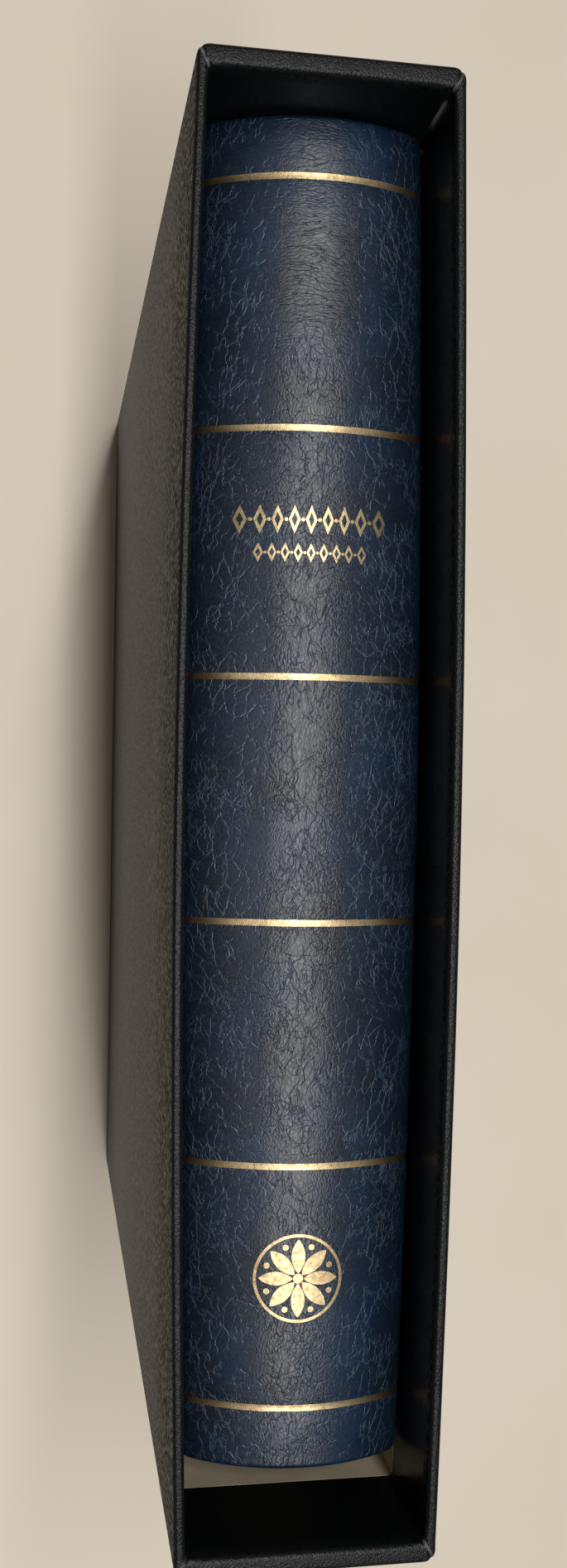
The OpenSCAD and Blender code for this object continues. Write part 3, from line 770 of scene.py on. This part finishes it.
padding = {
    "setback": 4.6,
    "outer": 0.62,             # from the cover's outer face to the foam
    "depth": 1.46,
    "edgeRound": 1.2,
    "edgeSteps": (0.0, 0.3, 0.7, 1.2),     # the rows of points near an edge
    "step": 6.0,               # between the rows elsewhere
}


def padRows(low, high):
    near, step = np.array(padding["edgeSteps"]), padding["step"]
    return np.concatenate([low + near, steps(low + step, high - step, step), (high - near)[::-1]])


def padGrid(xs, ys, surface):
    # a pad over a surface, thinned to rounded edges; surface gives x, y, z and a normal
    u, v = np.meshgrid(xs, ys)
    base, normal = surface(u, v)
    edge = np.minimum(np.minimum(u - xs[0], xs[-1] - u), np.minimum(v - ys[0], ys[-1] - v))
    half = padding["depth"] / 2
    left = 1 - np.clip(edge / padding["edgeRound"], 0, 1)
    full = half * np.sqrt(np.clip(1 - left ** 2, 0.04, 1))
    middle = base - normal * half
    return middle + normal * full[..., None], middle - normal * full[..., None]


def makePads():
    half, low = cover["halfThickness"], cover["crown"] - cover["width"]
    back, depth = padding["setback"], cover["jointEnd"]
    yEnd = cover["halfHeight"] - back
    ys = padRows(-yEnd, yEnd)
    zs = padRows(low + back, cover["crown"] - depth - back)
    for name, side in (("front_padding", 1), ("back_padding", -1)):

        def face(u, v):
            x = np.full(u.shape, side * (half - padding["outer"]))
            normal = np.zeros(u.shape + (3,))
            normal[..., 0] = side
            return np.stack([x, v + cover["middle"], u], 2), normal

        piece = addPiece(name + "_foam", *slab(*padGrid(zs, ys, face)), finishes["padding_foam"],
                         "album", (name,), "padding_foam")
    path = spinePath(padding["outer"])
    path = np.concatenate([path[::-1], path[1:] * np.array([-1, 1])])
    length = np.concatenate([[0], np.cumsum(np.linalg.norm(np.diff(path, axis=0), axis=1))])
    near = np.array(padding["edgeSteps"])
    us = merged(near, length, length[-1] - near)

    def crownFace(u, v):
        x, d = np.interp(u, length, path[:, 0]), np.interp(u, length, path[:, 1])
        ahead = np.stack([np.gradient(x, axis=1), -np.gradient(d, axis=1)], 2)
        ahead /= np.linalg.norm(ahead, axis=2)[..., None]
        normal = np.stack([ahead[..., 1], 0 * x, -ahead[..., 0]], 2)
        return np.stack([x, v + cover["middle"], cover["crown"] - d], 2), normal

    front, back = padGrid(us, ys, crownFace)
    piece = addPiece("spine_padding_foam", *slab(settled(front), settled(back)),
                     finishes["padding_foam"], "album", ("spine_padding",), "padding_foam")


makePads()
print("padding made")


def outlineStrip(outer, inner):
    # closed band between two outlines with the same number of points
    count = len(outer)
    points = np.concatenate([outer, inner])
    i = np.arange(count)
    j = (i + 1) % count
    return points, np.stack([i, j, j + count, i + count], 1)


def outlineFan(outline):
    middle = outline.mean(0)
    count = len(outline)
    i = np.arange(count)
    return np.concatenate([outline, [middle]]), [(a, (a + 1) % count, count) for a in i]


def gilded(flat, faces):
    # a flat pattern laid on the spine as a thin foil with closed edges
    flat = np.asarray(flat, float)
    top = onSpine(flat[:, 0], flat[:, 1] + cover["middle"], gilding["proud"])
    under = onSpine(flat[:, 0], flat[:, 1] + cover["middle"], gilding["proud"] - gilding["foil"])
    count = len(flat)
    edges = {}
    for face in faces:
        face = [int(i) for i in face]
        for a, b in zip(face, face[1:] + face[:1]):
            edges[(a, b)] = edges.get((a, b), 0) + 1
    border = [(a, b) for a, b in edges if (b, a) not in edges]
    solid = [tuple(int(i) for i in f) for f in faces]
    solid += [tuple(int(i) + count for i in reversed(f)) for f in faces]
    solid += [(b, a, a + count, b + count) for a, b in border]
    return np.concatenate([top, under]), solid


def bandPattern(place):
    half, wide = gilding["bandReach"] / 2, gilding["bandWidth"] / 2
    angles = np.linspace(-1, 1, 121)
    xs = half * np.sin(angles * math.pi / 2)
    acrossSteps = np.array([-1, -0.5, 0, 0.5, 1]) * wide
    dice = np.random.default_rng(int(place * 10) + 2000)
    frayed = ripple(xs, 0 * xs, 7, int(place) + 400) * 0.05
    frayed = frayed + dice.normal(0, 0.012, len(xs))
    x, across = np.meshgrid(xs, acrossSteps)
    y = place + across + frayed[None, :] * np.sign(across)
    index = np.arange(x.size).reshape(x.shape)
    quads = np.stack([index[:-1, :-1], index[:-1, 1:], index[1:, 1:], index[1:, :-1]], 2)
    return np.column_stack([x.ravel(), y.ravel()]), quads.reshape(-1, 4)


def denser(outline, size=0.5):
    # more points along straight stretches, so that the foil follows the crown
    dense = []
    for a, b in zip(outline, np.roll(outline, -1, 0)):
        count = max(1, int(np.linalg.norm(b - a) / size))
        dense += [a + (b - a) * k / count for k in range(count)]
    return np.array(dense)


def circle(radius, x=0.0, y=0.0, count=24):
    angles = np.arange(count) * 2 * math.pi / count
    return np.column_stack([x + radius * np.cos(angles), y + radius * np.sin(angles)])


def lozengeRow(pitch, height, y):
    wide = gilding["lozengeShare"] * pitch
    count = gilding["lozenges"]
    corners = np.array([[-wide / 2, 0], [0, -height / 2], [wide / 2, 0], [0, height / 2]])
    parts = []
    for k in range(count):
        at = np.array([(k - (count - 1) / 2) * pitch, y])
        outer = denser(corners)
        parts.append(outlineStrip(outer + at, outer * 0.5 + at))
    for k in range(count - 1):
        parts.append(outlineFan(circle(pitch / 9, (k - (count - 2) / 2) * pitch, y)))
    return parts


def petal(radius, turn):
    # pointed petal between two arcs, standing out from the rosette's middle
    offset = radius * 0.72
    tip = math.sqrt(radius ** 2 - offset ** 2)
    ys = np.sin(np.linspace(-1, 1, 17) * math.pi / 2) * tip
    xs = np.sqrt(radius ** 2 - ys ** 2) - offset
    outline = np.concatenate([np.column_stack([xs, ys]), np.column_stack([-xs, ys])[-2:0:-1]])
    outline[:, 1] += gilding["rosetteRadius"] * 0.5
    c, s = math.cos(turn), math.sin(turn)
    return outline @ np.array([[c, s], [-s, c]])


def rosettePattern():
    radius = gilding["rosetteRadius"]
    parts = [outlineStrip(circle(radius, count=96), circle(radius - gilding["rosetteRim"], count=96)),
             outlineFan(circle(radius / 9))]
    reach = radius * gilding["dotReach"]
    for k in range(gilding["petals"]):
        turn = k * 2 * math.pi / gilding["petals"]
        parts.append(outlineFan(petal(radius * gilding["petalRadius"], turn)))
        halfway = turn + math.pi / gilding["petals"]
        dot = circle(radius / 15, -reach * math.sin(halfway), reach * math.cos(halfway))
        parts.append(outlineFan(dot))
    return parts


def makeGilding():
    bands = joined([gilded(*bandPattern(place)) for place in bandPlaces])
    addPiece("gilt_bands", *bands, finishes["gold_foil"], "album", ("gold_bands",), "gold_foil", 50)
    title = gilding["bandRise"] + gilding["titlePlace"] * gilding["pitch"]
    rows = []
    for side, (pitch, height) in zip((0.5, -0.5), gilding["rows"]):
        rows += lozengeRow(pitch, height, title + side * gilding["rowGap"])
    addPiece("gilt_lozenges", *joined([gilded(*part) for part in rows]), finishes["gold_foil"],
             "album", ("gold_lozenges",), "gold_foil", 50)
    low = np.array([0, gilding["bandRise"] + gilding["rosettePlace"] * gilding["pitch"]])
    parts = [gilded(points + low, faces) for points, faces in rosettePattern()]
    addPiece("gilt_rosette", *joined(parts), finishes["gold_foil"], "album", ("gold_rosette",),
             "gold_foil", 50)


makeGilding()
print("gilding made")


# the slipcase's covering
def cornerRun(halfX, halfY, radius):
    # half a corner from the straight side to its diagonal, as points and normals
    angles = np.linspace(0, math.pi / 4, case["cornerPoints"])
    centre = np.array([halfX - radius, halfY - radius])
    normal = np.stack([np.cos(angles), np.sin(angles)], 1)
    return centre + radius * normal, normal


def sideStations():
    # right wall up to the head's diagonal: outer and inner plan points and their normals
    straight = case["innerHeight"] - case["innerCorner"]
    outerArc, outerNormal = cornerRun(case["halfWidth"], case["halfHeight"], case["cornerRound"])
    innerArc, innerNormal = cornerRun(case["innerWidth"], case["innerHeight"], case["innerCorner"])
    ys = steps(-straight, straight, 4.0)
    rightX = np.array([1.0, 0.0])
    gap = case["halfHeight"] - case["cornerRound"]
    bridge = np.linspace(straight, gap, case["bridgePoints"] + 2)[1:-1]
    outer = [(case["halfWidth"], y) for y in ys] + [(case["halfWidth"], y) for y in bridge]
    inner = [(case["innerWidth"], y) for y in ys] + [(case["innerWidth"], straight)] * len(bridge)
    normals = [rightX] * len(outer)
    outer = np.concatenate([outer, outerArc])
    inner = np.concatenate([inner, innerArc])
    outerNormal = np.concatenate([normals, outerNormal])
    innerNormal = np.concatenate([normals, innerNormal])
    return outer, outerNormal, inner, innerNormal


def wallBow(y, z):
    # how far a side wall stands out, most in the middle of the mouth
    inside = np.abs(y) < case["innerHeight"]
    lengthways = np.cos(np.pi * y / (2 * case["innerHeight"]))
    shape = lengthways * np.clip(z / case["depth"], 0, 1) ** case["bowPower"]
    return np.where(inside, case["bow"] * shape, 0)


def coveringGrid(stations, rimRound, seam, inset, seed):
    # the covering over one wall: up the outside, over the rim and down the inside
    outer, outerNormal, inner, innerNormal = stations
    depth, foot = case["depth"], case["footRound"]
    turns = np.radians(np.linspace(0, 90, 8))
    footTurns = np.radians(np.linspace(case["footTurn"], 0, 6))
    outSteps = [(foot * (1 - math.cos(a)), foot * (1 - math.sin(a))) for a in footTurns]
    outSteps += [(0.0, z) for z in steps(foot, depth - rimRound, 12)[1:-1]]
    rimSteps = [(rimRound * (1 - math.cos(a)), depth - rimRound + rimRound * math.sin(a))
                for a in turns]
    outSteps += rimSteps
    inSteps = rimSteps[::-1]
    inSteps += [(0.0, z) for z in steps(depth - rimRound, depth - case["turnedIn"], 4)[1:]]
    rows = [(outer, outerNormal, back, z, 1) for back, z in outSteps]
    rows += [(inner, innerNormal, back, z, -1) for back, z in inSteps]
    grid = np.zeros((len(outer), len(rows), 3))
    flat = np.zeros(grid.shape)
    flat[:, len(outSteps) + len(turns):, 2] = 1
    for j, (points, normals, back, z, way) in enumerate(rows):
        slope = 0.0
        if z > depth - rimRound:
            slope = (z - (depth - rimRound)) / rimRound
        flatInset = inset * math.sqrt(max(0, 1 - slope ** 2))
        if z < foot:
            flatInset = inset
        bumps = ripple(points[:, 1] + points[:, 0], np.full(len(points), z), 45, seed + (way < 0))
        draw = back + flatInset + case["unevenness"] * (bumps + 1) * 0.5 + seam
        plan = points - way * normals * draw[:, None]
        grid[:, j, 0] = plan[:, 0]
        grid[:, j, 1] = plan[:, 1]
        grid[:, j, 2] = z - inset * slope - seam * slope
    onSide = (np.abs(outer[:, 0]) >= case["innerWidth"] - 0.5)[:, None]
    grid[:, :, 0] += np.sign(grid[:, :, 0]) * wallBow(grid[:, :, 1], grid[:, :, 2]) * onSide
    return grid, flat


def turned(stations, flipX=1, flipY=1):
    scale = np.array([flipX, flipY])
    return tuple(s * scale for s in stations)


def wallStations():
    # stations of the right wall and of the head wall, each between two diagonals
    outer, outerNormal, inner, innerNormal = sideStations()
    upper = (outer, outerNormal, inner, innerNormal)
    start = len(outer) - case["cornerPoints"] - case["bridgePoints"]
    lower = [a[start:][::-1] * np.array([1, -1]) for a in upper]
    right = tuple(np.concatenate([low, whole]) for low, whole in zip(lower, upper))
    radius, small = case["cornerRound"], case["innerCorner"]
    xs = steps(-(case["innerWidth"] - small), case["innerWidth"] - small, 3.0)
    angles = np.linspace(math.pi / 2, math.pi / 4, case["cornerPoints"])
    normal = np.stack([np.cos(angles), np.sin(angles)], 1)
    outerArc = np.array([case["halfWidth"] - radius, case["halfHeight"] - radius]) + radius * normal
    innerArc = np.array([case["innerWidth"] - small, case["innerHeight"] - small]) + small * normal
    up = np.tile([0.0, 1.0], (len(xs), 1))
    outerHead = np.column_stack([xs, np.full(len(xs), case["halfHeight"])])
    innerHead = np.column_stack([xs, np.full(len(xs), case["innerHeight"])])
    mirror = np.array([-1, 1])
    head = (np.concatenate([(outerArc * mirror)[::-1], outerHead, outerArc]),
            np.concatenate([(normal * mirror)[::-1], up, normal]),
            np.concatenate([(innerArc * mirror)[::-1], innerHead, innerArc]),
            np.concatenate([(normal * mirror)[::-1], up, normal]))
    return right, head


def seamDips(stations):
    # the covering sinks a little where two pieces meet at a corner's diagonal
    outer = stations[0]
    way = np.concatenate([[0], np.cumsum(np.linalg.norm(np.diff(outer, axis=0), axis=1))])
    near = np.minimum(way, way[-1] - way)
    return case["seamDip"] * (1 - smooth(near / case["seamReach"]))


def makeCovering():
    right, head = wallStations()
    finish = finishes["case_leatherette"]

    def sheet(stations, rimRound, seed):
        seam = seamDips(stations)
        face, flat = coveringGrid(stations, rimRound, seam, 0.0, seed)
        under, _ = coveringGrid(stations, rimRound, seam, case["wrap"], seed)
        flat = flat.reshape(-1, 3)
        return slab(face, under), np.concatenate([flat, flat])

    for name, flip, seed in (("case_right_covering", 1, 11), ("case_left_covering", -1, 21)):
        solid, flat = sheet(turned(right, flip), case["rimRound"], seed)
        addPiece(name + "_skin", *solid, finish, "slipcase", (name,), "case_leatherette", 50, flat)
    ends = [sheet(turned(head, 1, flip), case["endRimRound"], 31 + flip) for flip in (1, -1)]
    base = basePlate()
    flat = np.concatenate([ends[0][1], ends[1][1], np.zeros((len(base[0]), 3))])
    addPiece("case_edge_covering_skin", *joined([ends[0][0], ends[1][0], base]), finish,
             "slipcase", ("case_edge_covering",), "case_leatherette", 50, flat)


def basePlate():
    # the covering over the closed back, on which the case stands
    back = case["footRound"] * (1 - math.cos(math.radians(case["footTurn"])))
    halfX, halfY = case["halfWidth"] - back, case["halfHeight"] - back
    radius = case["cornerRound"] - back
    outline = []
    for k in range(4):
        angles = np.radians(np.linspace(0, 90, 9) + 90 * k)
        signX, signY = (1, -1, -1, 1)[k], (1, 1, -1, -1)[k]
        outline.append(np.column_stack([signX * (halfX - radius) + radius * np.cos(angles),
                                        signY * (halfY - radius) + radius * np.sin(angles)]))
    outline = np.concatenate(outline)
    count = len(outline)
    points = np.concatenate([np.column_stack([outline, np.full(count, height)])
                             for height in (case["baseRise"], case["wrap"])])
    faces = [tuple(range(count))[::-1], tuple(range(count, 2 * count))]
    faces += [(i, (i + 1) % count, (i + 1) % count + count, i + count) for i in range(count)]
    return points, faces


makeCovering()
print("slipcase covered")

# the floor and the light
room = {
    "floor": tone(211, 202, 188),
    "floorClouds": tone(208, 198, 183),
    "floorSize": 9.0,
    "floorRise": -0.02,        # mm, just below the case's base
    "world": (1.0, 0.88, 0.73, 1.0),
    "worldStrength": 0.125,
    "lampHeight": 2.4,
    "lampBends": ((0.045, -1.42), (0.045, -0.1), (0.24, 1.2)),   # the strip light's ends and bend
    "lampWidth": 0.16,
    "lampPower": 23.7,         # for a metre of the strip
    "lampColour": (1.0, 0.985, 0.965),
}


def makeRoom():
    f = Finish("floor")
    cloud = f.noise(f.place, 160.0, 3.0)
    fine = f.noise(f.place, 1.5, 3.0)
    colour = f.mixed(f.ramp(cloud, 0.3, 0.7), room["floor"], room["floorClouds"])
    finish = f.finished(colour, 0.62 + fine * 0.1, fine * 0.02, {"Specular IOR Level": 0.3})
    size = room["floorSize"] / mm
    corners = ((-1, -1), (1, -1), (1, 1), (-1, 1))
    flat = np.array([[x * size, y * size, room["floorRise"]] for x, y in corners])
    mesh = bpy.data.meshes.new("floor")
    mesh.from_pydata([tuple(p) for p in flat * mm], [], [(0, 1, 2, 3)])
    mesh.materials.append(finish)
    floor = bpy.data.objects.new("floor", mesh)
    bpy.context.scene.collection.objects.link(floor)
    world = bpy.data.worlds.new("room")
    world.use_nodes = True
    world.node_tree.nodes["Background"].inputs["Color"].default_value = room["world"]
    world.node_tree.nodes["Background"].inputs["Strength"].default_value = room["worldStrength"]
    bpy.context.scene.world = world
    bends = [np.array(bend) for bend in room["lampBends"]]
    for start, end in zip(bends, bends[1:]):
        length = np.linalg.norm(end - start)
        lamp = bpy.data.lights.new("strip_light", "AREA")
        lamp.shape = "RECTANGLE"
        lamp.size, lamp.size_y = room["lampWidth"], length
        lamp.energy = room["lampPower"] * length
        lamp.color = room["lampColour"]
        box = bpy.data.objects.new("strip_light", lamp)
        box.location = (*(start + end) / 2, room["lampHeight"])
        box.rotation_euler = (0, 0, -math.atan2(*(end - start)))
        bpy.context.scene.collection.objects.link(box)


makeRoom()
bpy.context.scene.view_settings.view_transform = "Standard"
print("room lit")
